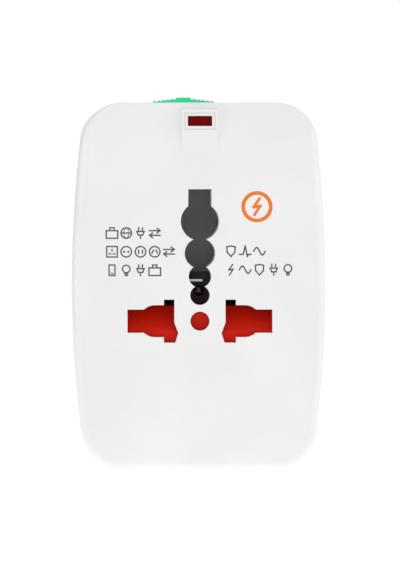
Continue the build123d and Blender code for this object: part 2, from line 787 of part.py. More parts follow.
def earth_strap():
    # Prongs that clasp the earth tab, a strip up the trough wall and a leaf to the earth pin's heel.
    earth_y, earth_z = earth_pivot
    y_wall = earth_y - earth_pin_height / 2 - groove_clearance - trough_wall
    y0 = y_plate + 1.0
    half = strap_width / 2
    prong = earth_tab_thickness / 2 + 0.2
    strap = block(-half, half, y_wall - bar_thickness, y_wall, earth_z - 0.3, earth_tab_z + 2)
    strap += both_sides(block(prong, prong + strip, y0, y_wall, earth_tab_z - 1.5, earth_tab_z + 1.5))
    return strap + block(-half, half, y_wall - 0.1, earth_y - earth_pin_height / 2 - 0.3,
                         earth_z - 0.3, earth_z + 0.3)


def hinge_stubs(index):
    x0, x1, y, z = hinge_places()[index]
    pieces = [rod_x(hinge_pin_radius, side * x0, side * x1, y, z) for side in (-1, 1)]
    return group(pieces)


def earth_pin_axle():
    return rod_x(hinge_pin_radius, -earth_trough_reach, earth_trough_reach, *earth_pivot)


def pivot_bores(half, pivot):
    radius = hinge_pin_radius + turning_clearance
    return both_sides(rod_x(radius, half - hinge_pin_bite - 0.1, half + 1, *pivot))


def uk_pin_metal(x):
    # Heel at the barrel's surface, core in the insulating neck, full section to the tip.
    y, z = uk_pivot
    z_tip = z + uk_pivot_depth + uk_pin_length
    z_neck = z + uk_pivot_depth + uk_sleeve_length
    half = uk_pin_width / 2
    metal = block(x - half, x + half, y - uk_pin_thickness / 2, y + uk_pin_thickness / 2, z_neck, z_tip)
    metal = chamfer(metal.faces().sort_by(Axis.Z)[-1].edges(), 0.9)
    return metal + block(x - half + 1, x + half - 1, y - 1.2, y + 1.2, z - 2.4, z_neck + 0.1)


def uk_pin_barrel():
    y, z = uk_pivot
    z_neck = z + uk_pivot_depth + uk_sleeve_length
    barrel = rod_x(uk_barrel_radius, -uk_barrel_half, uk_barrel_half, y, z)
    for x in (-uk_pin_x, uk_pin_x):
        half = uk_pin_width / 2
        barrel += block(x - half, x + half, y - uk_pin_thickness / 2, y + uk_pin_thickness / 2, z, z_neck)
    for x in (-uk_pin_x, uk_pin_x):
        barrel -= uk_pin_metal(x)
    return barrel - pivot_bores(uk_barrel_half, uk_pivot)


def uk_earth_pin():
    y, z = earth_pivot
    half = earth_pin_width / 2
    round_end = earth_pin_height / 2
    z_tip = z + earth_pivot_depth + earth_pin_length
    pin = block(-half, half, y - round_end, y + round_end, z, z_tip)
    pin = chamfer(pin.faces().sort_by(Axis.Z)[-1].edges(), 1.1)
    pin += rod_x(round_end, -half, half, y, z)
    return pin - rod_x(hinge_pin_radius + turning_clearance, -half - 1, half + 1, y, z)


def eu_pin_metal(x):
    y, z = eu_pivot
    z_tip = z - eu_pivot_depth - eu_pin_length
    z_neck = z - eu_pivot_depth - eu_sleeve_length
    metal = rod_z(eu_pin_radius, z_tip, z_neck, x, y)
    metal = fillet(metal.edges().sort_by(Axis.Z)[0], eu_pin_radius * 0.8)
    return metal + rod_z(1.2, z_neck - 0.1, z + 2.2, x, y)


def eu_pin_barrel():
    y, z = eu_pivot
    z_neck = z - eu_pivot_depth - eu_sleeve_length
    barrel = rod_x(eu_barrel_radius, -eu_barrel_half, eu_barrel_half, y, z)
    for x in (-eu_pin_x, eu_pin_x):
        barrel += rod_z(eu_pin_radius - 0.1, z_neck, z, x, y)
    for x in (-eu_pin_x, eu_pin_x):
        barrel -= eu_pin_metal(x)
    return barrel - pivot_bores(eu_barrel_half, eu_pivot)


nodes = {
    "front_shell": front_shell(),
    "front_back_cover": front_back_cover(),
    "indicator_lens": indicator_lens(),
    "neon_lamp": neon_lamp(),
    "lamp_leads": lamp_leads(),
    "lamp_resistor": lamp_resistor(),
    "surge_varistor": surge_varistor(),
    "varistor_leads": varistor_leads(),
    "contact_carrier": contact_carrier(),
    "live_socket_contact": side_contact(1),
    "neutral_socket_contact": side_contact(-1),
    "earth_socket_contact": earth_socket_contact(),
    "live_blade_wiper": blade_wiper(1),
    "neutral_blade_wiper": blade_wiper(-1),
    "lamp_link_strip": lamp_link_strip(),
    "lamp_link_rivet": lamp_link_rivet(),
    "carrier_screw": carrier_screw(),
    "shutter_spring_left": shutter_spring(-spring_x),
    "shutter_spring_right": shutter_spring(spring_x),
    "front_screws": screws(y_front_back, y_cover),
    "red_shutter": red_shutter(),
    "slider_cap": slider_cap(),
    "latch_plate": latch_plate(),
    "left_blade": flat_blade(-1),
    "left_blade_hub": blade_hub(-1),
    "right_blade": flat_blade(1),
    "right_blade_hub": blade_hub(1),
    "rear_shell": rear_shell(),
    "rear_front_plate": rear_front_plate(),
    "rear_screws": screws(y_rear_front, y_plate),
    "live_sleeve_contact": sleeve_contact(1),
    "neutral_sleeve_contact": sleeve_contact(-1),
    "live_busbar": busbar(1),
    "neutral_busbar": busbar(-1),
    "earth_strap": earth_strap(),
    "uk_pin_stubs": hinge_stubs(0),
    "eu_pin_stubs": hinge_stubs(1),
    "earth_pin_axle": earth_pin_axle(),
    "uk_pin_barrel": uk_pin_barrel(),
    "uk_live_pin": uk_pin_metal(uk_pin_x),
    "uk_neutral_pin": uk_pin_metal(-uk_pin_x),
    "uk_earth_pin": uk_earth_pin(),
    "eu_pin_barrel": eu_pin_barrel(),
    "eu_live_pin": eu_pin_metal(eu_pin_x),
    "eu_neutral_pin": eu_pin_metal(-eu_pin_x),
}

os.makedirs("parts", exist_ok=True)
for node, shape in nodes.items():
    export_step(shape, f"parts/{node}.step")
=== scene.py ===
import bpy
import bmesh
import math
from mathutils import Matrix, Vector


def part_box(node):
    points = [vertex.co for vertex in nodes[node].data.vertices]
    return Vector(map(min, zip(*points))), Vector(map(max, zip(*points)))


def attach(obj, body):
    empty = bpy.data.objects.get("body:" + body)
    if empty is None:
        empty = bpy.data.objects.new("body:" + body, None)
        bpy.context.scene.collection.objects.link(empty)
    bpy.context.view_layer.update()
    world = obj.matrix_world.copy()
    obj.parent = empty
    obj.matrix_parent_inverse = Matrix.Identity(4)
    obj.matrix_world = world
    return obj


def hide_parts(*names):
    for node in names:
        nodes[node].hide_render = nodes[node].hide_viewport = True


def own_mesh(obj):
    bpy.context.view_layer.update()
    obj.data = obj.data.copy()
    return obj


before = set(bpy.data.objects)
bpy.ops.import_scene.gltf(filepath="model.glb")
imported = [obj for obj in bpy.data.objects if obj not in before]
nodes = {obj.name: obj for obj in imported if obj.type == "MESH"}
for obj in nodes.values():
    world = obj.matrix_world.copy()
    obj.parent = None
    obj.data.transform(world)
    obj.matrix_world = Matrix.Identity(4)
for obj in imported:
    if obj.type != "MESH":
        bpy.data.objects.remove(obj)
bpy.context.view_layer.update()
mm = 0.001
bevelSamples = 6
scene = bpy.context.scene
print("frame loaded:", len(nodes), "nodes")


def linear(hexColor):
    # sRGB hex to the linear RGBA that the shader sockets hold
    channels = [int(hexColor[i:i + 2], 16) / 255 for i in (1, 3, 5)]
    return [c / 12.92 if c <= 0.04045 else ((c + 0.055) / 1.055) ** 2.4 for c in channels] + [1.0]


def addNode(tree, kind, settings):
    # a key names a property of the node or one of its sockets; a socket given as the value is linked
    node = tree.nodes.new(kind)
    for key, value in settings.items():
        if isinstance(key, str) and hasattr(node, key):
            setattr(node, key, value)
        elif isinstance(value, bpy.types.NodeSocket):
            tree.links.new(value, node.inputs[key])
        else:
            node.inputs[key].default_value = value
    return node


def newMaterial(name, shader):
    material = bpy.data.materials.new(name)
    material.use_nodes = True
    tree = material.node_tree
    tree.nodes.clear()
    principled = addNode(tree, "ShaderNodeBsdfPrincipled", shader)
    addNode(tree, "ShaderNodeOutputMaterial", {"Surface": principled.outputs["BSDF"]})
    place = tree.nodes.new("ShaderNodeTexCoord").outputs["Object"]
    return material, tree, principled, place


def perMetre(sizeInMm):
    # noise scale that gives features of about this size
    return 1 / (sizeInMm * mm)


def mouldedPlastic(name, settings):
    # Moulded plastic: faint cloudy shade from the melt flow, a spark-eroded mould texture in the bump,
    # a glossier or duller patch here and there from handling, and a soft radius on every edge.
    s = {"color": "#EEEEEE", "shade": "#E2E2E0", "roughness": 0.42, "grain": 0.35, "grainDepth": 0.004,
         "edgeRadius": 0.18, "paintedEdgeHighlight": "", "ior": 1.53, "specular": 0.5, "coat": 0.0}
    s.update(settings)
    material, tree, principled, place = newMaterial(name, {
        "IOR": s["ior"], "Specular IOR Level": s["specular"], "Coat Weight": s["coat"],
        "Coat Roughness": 0.12})
    cloud = addNode(tree, "ShaderNodeTexNoise", {"Vector": place, "Scale": perMetre(14), "Detail": 3.0})
    patches = addNode(tree, "ShaderNodeMapRange", {
        "Value": cloud.outputs["Fac"], "From Min": 0.35, "From Max": 0.65, "To Min": 0.0, "To Max": 1.0})
    base = addNode(tree, "ShaderNodeMix", {
        "data_type": "RGBA", 0: patches.outputs["Result"], 6: linear(s["color"]), 7: linear(s["shade"])})
    speck = addNode(tree, "ShaderNodeTexNoise", {"Vector": place, "Scale": perMetre(0.6), "Detail": 2.0})
    flecks = addNode(tree, "ShaderNodeMapRange", {
        "Value": speck.outputs["Fac"], "From Min": 0.62, "From Max": 0.75, "To Min": 0.0, "To Max": 0.35})
    base = addNode(tree, "ShaderNodeMix", {
        "data_type": "RGBA", 0: flecks.outputs["Result"], 6: base.outputs[2], 7: linear(s["shade"])})
    rounded = addNode(tree, "ShaderNodeBevel", {"samples": bevelSamples, "Radius": s["edgeRadius"] * mm})
    if s["paintedEdgeHighlight"]:  # painted highlight: slightly lighter arrises
        flat = tree.nodes.new("ShaderNodeNewGeometry")
        turn = addNode(tree, "ShaderNodeVectorMath", {
            "operation": "DOT_PRODUCT", 0: rounded.outputs["Normal"], 1: flat.outputs["Normal"]})
        edge = addNode(tree, "ShaderNodeMapRange", {
            "Value": turn.outputs["Value"], "From Min": 0.97, "From Max": 0.80, "To Min": 0.0,
            "To Max": 0.7})
        base = addNode(tree, "ShaderNodeMix", {
            "data_type": "RGBA", 0: edge.outputs["Result"], 6: base.outputs[2], 7: linear(s["paintedEdgeHighlight"])})
    tree.links.new(base.outputs[2], principled.inputs["Base Color"])
    handled = addNode(tree, "ShaderNodeTexNoise", {"Vector": place, "Scale": perMetre(5), "Detail": 4.0})
    rough = addNode(tree, "ShaderNodeMapRange", {
        "Value": handled.outputs["Fac"], "From Min": 0.3, "From Max": 0.7,
        "To Min": s["roughness"] - 0.05, "To Max": s["roughness"] + 0.06})
    tree.links.new(rough.outputs["Result"], principled.inputs["Roughness"])
    grain = addNode(tree, "ShaderNodeTexNoise", {
        "Vector": place, "Scale": perMetre(s["grain"]), "Detail": 3.0, "Roughness": 0.6})
    bump = addNode(tree, "ShaderNodeBump", {
        "Height": grain.outputs["Fac"], "Normal": rounded.outputs["Normal"], "Strength": 0.5,
        "Distance": s["grainDepth"] * mm})
    tree.links.new(bump.outputs["Normal"], principled.inputs["Normal"])
    return material


def platedMetal(name, settings):
    # Pressed or turned metal: fine drawn lines along one axis, tarnish clouds, rounded edges.
    s = {"color": "#C9C6BE", "tarnish": "#A39E92", "roughness": 0.24, "line": 0.12,
         "lineStretch": (1, 1, 0.06), "lineDepth": 0.002, "edgeRadius": 0.12, "tarnishAmount": 0.6}
    s.update(settings)
    material, tree, principled, place = newMaterial(name, {"Metallic": 1.0})
    cloud = addNode(tree, "ShaderNodeTexNoise", {"Vector": place, "Scale": perMetre(3.5), "Detail": 5.0})
    patches = addNode(tree, "ShaderNodeMapRange", {
        "Value": cloud.outputs["Fac"], "From Min": 0.45, "From Max": 0.75, "To Min": 0.0,
        "To Max": s["tarnishAmount"]})
    base = addNode(tree, "ShaderNodeMix", {
        "data_type": "RGBA", 0: patches.outputs["Result"], 6: linear(s["color"]), 7: linear(s["tarnish"])})
    tree.links.new(base.outputs[2], principled.inputs["Base Color"])
    stretched = addNode(tree, "ShaderNodeMapping", {"Vector": place, "Scale": s["lineStretch"]})
    lines = addNode(tree, "ShaderNodeTexNoise", {
        "Vector": stretched.outputs["Vector"], "Scale": perMetre(s["line"]), "Detail": 2.0})
    rough = addNode(tree, "ShaderNodeMapRange", {
        "Value": lines.outputs["Fac"], "From Min": 0.3, "From Max": 0.7,
        "To Min": s["roughness"] - 0.06, "To Max": s["roughness"] + 0.12})
    tree.links.new(rough.outputs["Result"], principled.inputs["Roughness"])
    rounded = addNode(tree, "ShaderNodeBevel", {"samples": bevelSamples, "Radius": s["edgeRadius"] * mm})
    bump = addNode(tree, "ShaderNodeBump", {
        "Height": lines.outputs["Fac"], "Normal": rounded.outputs["Normal"], "Strength": 0.35,
        "Distance": s["lineDepth"] * mm})
    tree.links.new(bump.outputs["Normal"], principled.inputs["Normal"])
    return material


def tintedLens(name, settings):
    # Polished, deeply tinted acrylic: darker towards its rim as painted shade, with faint swirls and scuffs.
    material, tree, principled, place = newMaterial(name, {
        "IOR": 1.49, "Transmission Weight": 0.08, "Specular IOR Level": 0.03})
    swirl = addNode(tree, "ShaderNodeTexNoise", {"Vector": place, "Scale": perMetre(1.6), "Detail": 2.0})
    patches = addNode(tree, "ShaderNodeMapRange", {
        "Value": swirl.outputs["Fac"], "From Min": 0.35, "From Max": 0.7, "To Min": 0.0, "To Max": 1.0})
    base = addNode(tree, "ShaderNodeMix", {
        "data_type": "RGBA", 0: patches.outputs["Result"], 6: linear(settings["color"]),
        7: linear(settings["shade"])})
    rounded = addNode(tree, "ShaderNodeBevel", {
        "samples": bevelSamples, "Radius": settings["edgeRadius"] * mm})
    flat = tree.nodes.new("ShaderNodeNewGeometry")
    turn = addNode(tree, "ShaderNodeVectorMath", {
        "operation": "DOT_PRODUCT", 0: rounded.outputs["Normal"], 1: flat.outputs["Normal"]})
    edge = addNode(tree, "ShaderNodeMapRange", {
        "Value": turn.outputs["Value"], "From Min": 0.995, "From Max": 0.85, "To Min": 0.0, "To Max": 1.0})
    base = addNode(tree, "ShaderNodeMix", {
        "data_type": "RGBA", 0: edge.outputs["Result"], 6: base.outputs[2], 7: linear(settings["rim"])})
    tree.links.new(base.outputs[2], principled.inputs["Base Color"])
    scuff = addNode(tree, "ShaderNodeTexNoise", {"Vector": place, "Scale": perMetre(0.8), "Detail": 4.0})
    rough = addNode(tree, "ShaderNodeMapRange", {
        "Value": scuff.outputs["Fac"], "From Min": 0.4, "From Max": 0.7,
        "To Min": settings["roughness"], "To Max": settings["roughness"] + 0.12})
    tree.links.new(rough.outputs["Result"], principled.inputs["Roughness"])
    tree.links.new(rounded.outputs["Normal"], principled.inputs["Normal"])
    return material


def bandedResistor(name, settings):
    # Lacquered ceramic body with painted value bands along Z.
    material, tree, principled, place = newMaterial(name, {"Roughness": 0.4, "IOR": 1.5})
    low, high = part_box("lamp_resistor")
    height = addNode(tree, "ShaderNodeSeparateXYZ", {"Vector": place})
    along = addNode(tree, "ShaderNodeMapRange", {
        "Value": height.outputs["Z"], "From Min": low.z, "From Max": high.z, "To Min": 0.0, "To Max": 1.0})
    ramp = addNode(tree, "ShaderNodeValToRGB", {"Fac": along.outputs["Result"]})
    ramp.color_ramp.interpolation = "CONSTANT"
    for i, (position, color) in enumerate(settings["bands"]):
        element = ramp.color_ramp.elements[i] if i < 2 else ramp.color_ramp.elements.new(position)
        element.position = position
        element.color = linear(color)
    grime = addNode(tree, "ShaderNodeTexNoise", {"Vector": place, "Scale": perMetre(0.7), "Detail": 3.0})
    patches = addNode(tree, "ShaderNodeMapRange", {
        "Value": grime.outputs["Fac"], "From Min": 0.5, "From Max": 0.8, "To Min": 0.0, "To Max": 0.4})
    base = addNode(tree, "ShaderNodeMix", {
        "data_type": "RGBA", 0: patches.outputs["Result"], 6: ramp.outputs["Color"],
        7: linear(settings["grime"])})
    tree.links.new(base.outputs[2], principled.inputs["Base Color"])
    return material


def lampGlass(name, settings):
    # Soda glass envelope of the neon lamp, faintly warm, with a drawn seal.
    material, tree, principled, place = newMaterial(name, {"IOR": 1.52, "Transmission Weight": 0.85})
    haze = addNode(tree, "ShaderNodeTexNoise", {"Vector": place, "Scale": perMetre(1.2), "Detail": 3.0})
    base = addNode(tree, "ShaderNodeMix", {
        "data_type": "RGBA", 0: haze.outputs["Fac"], 6: linear(settings["color"]),
        7: linear(settings["haze"])})
    tree.links.new(base.outputs[2], principled.inputs["Base Color"])
    rough = addNode(tree, "ShaderNodeMapRange", {
        "Value": haze.outputs["Fac"], "From Min": 0.3, "From Max": 0.7, "To Min": 0.03, "To Max": 0.14})
    tree.links.new(rough.outputs["Result"], principled.inputs["Roughness"])
    return material


# white ABS, spark-eroded mould: satin, nearly neutral white, with a painted highlight on its edges
whiteAbs = mouldedPlastic("whiteAbs", {
    "color": "#F3F3F3", "shade": "#EFEFEE", "paintedEdgeHighlight": "#FCFCFC", "roughness": 0.46, "grain": 0.32,
    "grainDepth": 0.0035, "edgeRadius": 0.30})
# red polycarbonate shutter: clear bright red, semi-gloss
redPolycarbonate = mouldedPlastic("redPolycarbonate", {
    "color": "#F52813", "shade": "#E82210", "roughness": 0.38, "grain": 0.5, "edgeRadius": 0.25,
    "specular": 0.12})
# green ABS slider: satin, with a painted highlight on its ridges
greenAbs = mouldedPlastic("greenAbs", {
    "color": "#3BF8B4", "shade": "#34EEA8", "paintedEdgeHighlight": "#6CF5BC", "roughness": 0.40, "grain": 0.3,
    "edgeRadius": 0.08})
# dark carrier: dull, brown-black, a painted shade that keeps the interior seen through the openings dark
darkCarrierPaintedShade = mouldedPlastic("darkCarrierPaintedShade", {
    "color": "#2B2320", "shade": "#1D1714", "paintedEdgeHighlight": "#443A35", "roughness": 0.55, "grain": 0.4,
    "edgeRadius": 0.15})
# black glass-filled nylon of the hubs, pin barrels and pin sleeves: dull black, greyer on its edges
blackNylon = mouldedPlastic("blackNylon", {
    "color": "#1B1B1C", "shade": "#121213", "paintedEdgeHighlight": "#3A3A3B", "roughness": 0.48, "grain": 0.3,
    "edgeRadius": 0.15})
# blue epoxy dip of the varistor: glossy, slightly lumpy
blueEpoxy = mouldedPlastic("blueEpoxy", {
    "color": "#1F4FA0", "shade": "#183F86", "roughness": 0.35, "grain": 0.9, "grainDepth": 0.02,
    "coat": 0.3})
# nickel plated brass pins: bright warm grey, lines drawn along their length
nickelPlate = platedMetal("nickelPlate", {"color": "#D2CFC8", "tarnish": "#ADA79B", "roughness": 0.20})
nickelBlade = platedMetal("nickelBlade", {
    "color": "#D2CFC8", "tarnish": "#ADA79B", "roughness": 0.22, "lineStretch": (1, 0.06, 1)})
# blackened steel of the carrier's domed screw: dark, with one sharp glint
blackSteel = platedMetal("blackSteel", {
    "color": "#4C4440", "tarnish": "#2E2824", "roughness": 0.16, "line": 0.3, "lineStretch": (1, 1, 1)})
# pressed brass contacts: yellow with brown tarnish
contactBrass = platedMetal("contactBrass", {"color": "#D0A95A", "tarnish": "#8F6B35", "roughness": 0.30})
# tinned copper leads and strip: pale, soft shine
tinnedCopper = platedMetal("tinnedCopper", {
    "color": "#DADAD6", "tarnish": "#B7B7B2", "roughness": 0.28, "lineStretch": (0.06, 1, 1)})
# hard drawn spring steel: darker grey, bright
springSteel = platedMetal("springSteel", {"color": "#A9A9AB", "tarnish": "#7E7C7A", "roughness": 0.26})
# zinc plated steel screws and hinge pins: bluish grey with olive patches
zincSteel = platedMetal("zincSteel", {
    "color": "#C4C8CC", "tarnish": "#9AA08F", "roughness": 0.32, "line": 0.25, "lineStretch": (1, 1, 1)})
# red acrylic window: deep wine red, polished
redAcrylic = tintedLens("redAcrylic", {
    "color": "#7A0404", "shade": "#680303", "rim": "#300101", "roughness": 0.10, "edgeRadius": 0.3})
neonGlass = lampGlass("neonGlass", {"color": "#F4E6DA", "haze": "#E9CDBB"})
resistorLacquer = bandedResistor("resistorLacquer", {"grime": "#8B7A58", "bands": [
    (0.0, "#CDBB8C"), (0.50, "#8A4B1E"), (0.56, "#CDBB8C"), (0.62, "#1C1C1C"), (0.68, "#CDBB8C"),
    (0.74, "#D9A21B"), (0.80, "#CDBB8C")]})
# pad printing inks: flat and slightly uneven
greyInk = mouldedPlastic("greyInk", {
    "color": "#4A4A4C", "shade": "#5A5A5C", "roughness": 0.55, "edgeRadius": 0.01})
orangeInk = mouldedPlastic("orangeInk", {
    "color": "#F07C14", "shade": "#E8720C", "roughness": 0.50, "edgeRadius": 0.01})

finishes = {
    whiteAbs: ["front_shell", "front_back_cover", "rear_shell", "rear_front_plate"],
    redAcrylic: ["indicator_lens"],
    neonGlass: ["neon_lamp"],
    tinnedCopper: ["lamp_leads", "varistor_leads", "lamp_link_strip", "lamp_link_rivet"],
    resistorLacquer: ["lamp_resistor"],
    blueEpoxy: ["surge_varistor"],
    darkCarrierPaintedShade: ["contact_carrier"],
    contactBrass: ["live_socket_contact", "neutral_socket_contact", "earth_socket_contact",
                   "live_blade_wiper", "neutral_blade_wiper", "live_sleeve_contact",
                   "neutral_sleeve_contact", "live_busbar", "neutral_busbar", "earth_strap"],
    springSteel: ["shutter_spring_left", "shutter_spring_right", "latch_plate"],
    zincSteel: ["front_screws", "rear_screws", "uk_pin_stubs", "eu_pin_stubs", "earth_pin_axle"],
    redPolycarbonate: ["red_shutter"],
    greenAbs: ["slider_cap"],
    blackSteel: ["carrier_screw"],
    nickelBlade: ["left_blade", "right_blade"],
    blackNylon: ["left_blade_hub", "right_blade_hub", "uk_pin_barrel", "eu_pin_barrel"],
    nickelPlate: ["uk_live_pin", "uk_neutral_pin", "uk_earth_pin", "eu_live_pin", "eu_neutral_pin"],
}
for material, names in finishes.items():
    for name in names:
        nodes[name].data.materials.clear()
        nodes[name].data.materials.append(material)
print("materials assigned")


def newPiece(name, mesh, material, body):
    data = bpy.data.meshes.new(name)
    bmesh.ops.recalc_face_normals(mesh, faces=mesh.faces)
    mesh.to_mesh(data)
    mesh.free()
    data.materials.append(material)
    piece = bpy.data.objects.new(name, data)
    scene.collection.objects.link(piece)
    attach(piece, body)
    return piece


# Printed pictograms: thin ink on the socket face, drawn from strokes of one width
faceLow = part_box("front_shell")[0]
ink = {"thickness": 0.03, "stroke": 0.27, "iconHeight": 2.1, "pitch": 2.85,
       "layerStep": 0.06, "layers": 7, "ringSteps": 40, "dotSides": 20,
       "leftStart": -17.6, "leftRows": [47.5, 43.75, 40.05], "rightStart": 6.2, "rightRows": [43.85, 40.15]}


def inkDepth(mesh):
    # a little more for every stroke, so that strokes that cross never share a plane
    return ink["thickness"] * mm * (1 + ink["layerStep"] * (len(mesh.faces) % ink["layers"]))


def strokeBar(mesh, x0, z0, x1, z1, width):
    # a straight stroke between two points on the face, in millimetres
    run = Vector((x1 - x0, 0, z1 - z0))
    depth = inkDepth(mesh)
    made = bmesh.ops.create_cube(mesh, size=1.0)["verts"]
    bmesh.ops.scale(mesh, verts=made, vec=((run.length + width) * mm, depth, width * mm))
    turn = Matrix.Rotation(-math.atan2(run.z, run.x), 3, "Y")
    bmesh.ops.rotate(mesh, verts=made, cent=(0, 0, 0), matrix=turn)
    bmesh.ops.translate(mesh, verts=made, vec=((x0 + x1) / 2 * mm, faceLow.y, (z0 + z1) / 2 * mm))


def strokePath(mesh, points, width, closed=False):
    ends = points[1:] + points[:1] if closed else points[1:]
    for (x0, z0), (x1, z1) in zip(points, ends):
        strokeBar(mesh, x0, z0, x1, z1, width)


def strokeRing(mesh, x, z, radius, width, squeeze=1.0, steps=ink["ringSteps"]):
    # a round stroke: a small square spun about the face's normal, made apart and then added
    ring = bmesh.new()
    profile = bmesh.ops.create_circle(ring, segments=4, radius=math.sqrt(0.5))["verts"]
    bmesh.ops.rotate(ring, verts=profile, cent=(0, 0, 0), matrix=Matrix.Rotation(math.pi / 4, 3, "Z"))
    bmesh.ops.scale(ring, verts=profile, vec=(width * mm, inkDepth(mesh), 1))
    bmesh.ops.translate(ring, verts=profile, vec=(radius * mm, 0, 0))
    bmesh.ops.spin(ring, geom=list(ring.verts) + list(ring.edges), cent=(0, 0, 0), axis=(0, 1, 0),
                   angle=math.tau, steps=steps, use_merge=True)
    bmesh.ops.scale(ring, verts=ring.verts, vec=(squeeze, 1, 1))
    bmesh.ops.translate(ring, verts=ring.verts, vec=(x * mm, faceLow.y, z * mm))
    holder = bpy.data.meshes.new("ring")
    ring.to_mesh(holder)
    ring.free()
    mesh.from_mesh(holder)
    bpy.data.meshes.remove(holder)


def strokeDot(mesh, x, z, radius):
    made = bmesh.ops.create_cone(mesh, cap_ends=True, segments=ink["dotSides"], radius1=radius * mm,
                                 radius2=radius * mm, depth=inkDepth(mesh))["verts"]
    bmesh.ops.rotate(mesh, verts=made, cent=(0, 0, 0), matrix=Matrix.Rotation(math.pi / 2, 3, "X"))
    bmesh.ops.translate(mesh, verts=made, vec=(x * mm, faceLow.y, z * mm))


def iconGlobe(mesh, x, z, h, w):
    strokeRing(mesh, x, z, h / 2, w)
    strokeRing(mesh, x, z, h / 2, w, squeeze=0.45)
    strokeBar(mesh, x - h / 2, z, x + h / 2, z, w)


def iconCase(mesh, x, z, h, w):
    strokePath(mesh, [(x - h * 0.55, z - h / 2), (x + h * 0.55, z - h / 2), (x + h * 0.55, z + h * 0.22),
                      (x - h * 0.55, z + h * 0.22)], w, closed=True)
    strokePath(mesh, [(x - h * 0.2, z + h * 0.22), (x - h * 0.2, z + h / 2), (x + h * 0.2, z + h / 2),
                      (x + h * 0.2, z + h * 0.22)], w)


def iconPlug(mesh, x, z, h, w):
    strokePath(mesh, [(x - h * 0.35, z + h * 0.15), (x + h * 0.35, z + h * 0.15), (x + h * 0.2, z - h * 0.2),
                      (x - h * 0.2, z - h * 0.2)], w, closed=True)
    strokeBar(mesh, x - h * 0.18, z + h * 0.15, x - h * 0.18, z + h / 2, w)
    strokeBar(mesh, x + h * 0.18, z + h * 0.15, x + h * 0.18, z + h / 2, w)
    strokeBar(mesh, x, z - h * 0.2, x, z - h / 2, w)


def iconArrows(mesh, x, z, h, w):
    for side in (-1, 1):
        level = z + side * h * 0.22
        tip = x + side * h * 0.5
        strokeBar(mesh, x - side * h * 0.5, level, tip, level, w)
        strokePath(mesh, [(tip - side * h * 0.28, level + h * 0.22), (tip, level),
                          (tip - side * h * 0.28, level - h * 0.22)], w)


def iconRoundPins(mesh, x, z, h, w):
    strokeRing(mesh, x, z, h / 2, w)
    for side in (-1, 1):
        strokeDot(mesh, x + side * h * 0.2, z, w * 0.8)


def iconThreePins(mesh, x, z, h, w):
    half = h / 2
    strokePath(mesh, [(x - half, z - half), (x + half, z - half), (x + half, z + half),
                      (x - half, z + half)], w, closed=True)
    strokeBar(mesh, x, z + h * 0.08, x, z + h * 0.22, w)
    for side in (-1, 1):
        strokeBar(mesh, x + side * h * 0.26, z - h * 0.2, x + side * h * 0.14, z - h * 0.2, w)


def iconFlatPins(mesh, x, z, h, w):
    strokeRing(mesh, x, z, h / 2, w)
    for side in (-1, 1):
        strokeBar(mesh, x + side * h * 0.18, z - h * 0.14, x + side * h * 0.18, z + h * 0.14, w)


def iconSlantedPins(mesh, x, z, h, w):
    strokeRing(mesh, x, z, h / 2, w)
    for side in (-1, 1):
        strokeBar(mesh, x + side * h * 0.26, z - h * 0.12, x + side * h * 0.12, z + h * 0.14, w)


def iconWave(mesh, x, z, h, w):
    count = 12  # straight pieces in one wave
    curve = [(x + h * (i / count - 0.5) * 1.1, z + h * 0.35 * math.sin(i / count * math.tau))
             for i in range(count + 1)]
    strokePath(mesh, curve, w)


def iconSpike(mesh, x, z, h, w):
    strokePath(mesh, [(x - h * 0.55, z - h * 0.3), (x - h * 0.2, z - h * 0.3), (x, z + h / 2),
                      (x + h * 0.2, z - h / 2), (x + h * 0.3, z - h * 0.3), (x + h * 0.55, z - h * 0.3)], w)


def iconShield(mesh, x, z, h, w):
    strokePath(mesh, [(x - h * 0.4, z + h * 0.42), (x, z + h / 2), (x + h * 0.4, z + h * 0.42),
                      (x + h * 0.36, z - h * 0.1), (x, z - h / 2), (x - h * 0.36, z - h * 0.1)], w,
               closed=True)


def iconBolt(mesh, x, z, h, w):
    strokePath(mesh, [(x + h * 0.15, z + h / 2), (x - h * 0.2, z - h * 0.02), (x + h * 0.2, z + h * 0.05),
                      (x - h * 0.15, z - h / 2)], w)


def iconLamp(mesh, x, z, h, w):
    strokeRing(mesh, x, z + h * 0.12, h * 0.36, w)
    strokeBar(mesh, x - h * 0.14, z - h * 0.34, x + h * 0.14, z - h * 0.34, w)
    strokeBar(mesh, x - h * 0.1, z - h / 2, x + h * 0.1, z - h / 2, w)


def iconPhone(mesh, x, z, h, w):
    strokePath(mesh, [(x - h * 0.28, z - h / 2), (x + h * 0.28, z - h / 2), (x + h * 0.28, z + h / 2),
                      (x - h * 0.28, z + h / 2)], w, closed=True)
    strokeBar(mesh, x - h * 0.06, z - h * 0.32, x + h * 0.06, z - h * 0.32, w)


def iconBlock(name, start, rows, icons):
    mesh = bmesh.new()
    for z, row in zip(rows, icons):
        for i, icon in enumerate(row):
            icon(mesh, start + i * ink["pitch"], z, ink["iconHeight"], ink["stroke"])
    newPiece(name, mesh, greyInk, "front_module")


iconBlock("printed_icons_left", ink["leftStart"], ink["leftRows"],
          [[iconCase, iconGlobe, iconPlug, iconArrows],
           [iconThreePins, iconRoundPins, iconFlatPins, iconSlantedPins, iconArrows],
           [iconPhone, iconLamp, iconPlug, iconCase]])
iconBlock("printed_icons_right", ink["rightStart"], ink["rightRows"],
          [[iconShield, iconSpike, iconWave],
           [iconBolt, iconWave, iconShield, iconPlug, iconLamp]])

